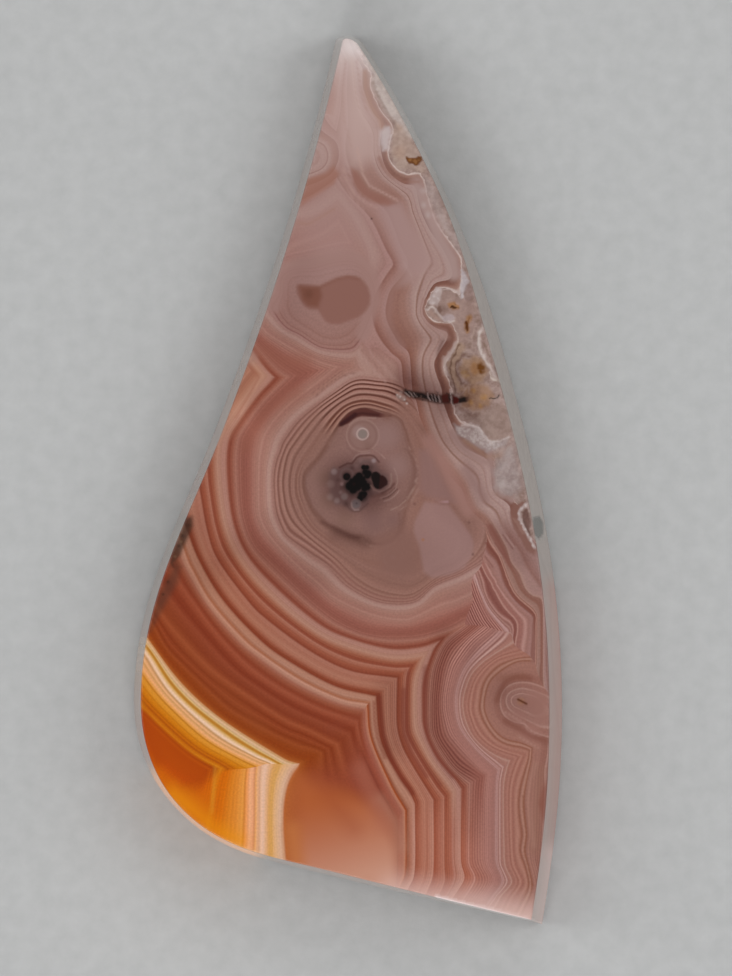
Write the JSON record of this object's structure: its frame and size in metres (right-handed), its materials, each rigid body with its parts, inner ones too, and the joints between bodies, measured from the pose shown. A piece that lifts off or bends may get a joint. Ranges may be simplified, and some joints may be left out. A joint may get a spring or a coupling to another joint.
{
  "type": "polished agate slice",
  "caption": "Polished freeform slice of banded agate with a flat face, leaning side wall and flat back, shaped as a leaning teardrop.",
  "frame": {"origin": "middle of the stone's bounding box, on the flat back that it rests on", "axes": "+Z out of the polished face, +Y along the stone's length towards its tip, +X towards its convex side"},
  "size_m": [0.0288, 0.0596, 0.006],
  "materials": {
    "polished_agate": "high polish with fine concentric bands in pink, brown-red, orange and cream"
  },
  "bodies": {
    "root": {"agate": "polished_agate"}
  },
  "joints": []
}
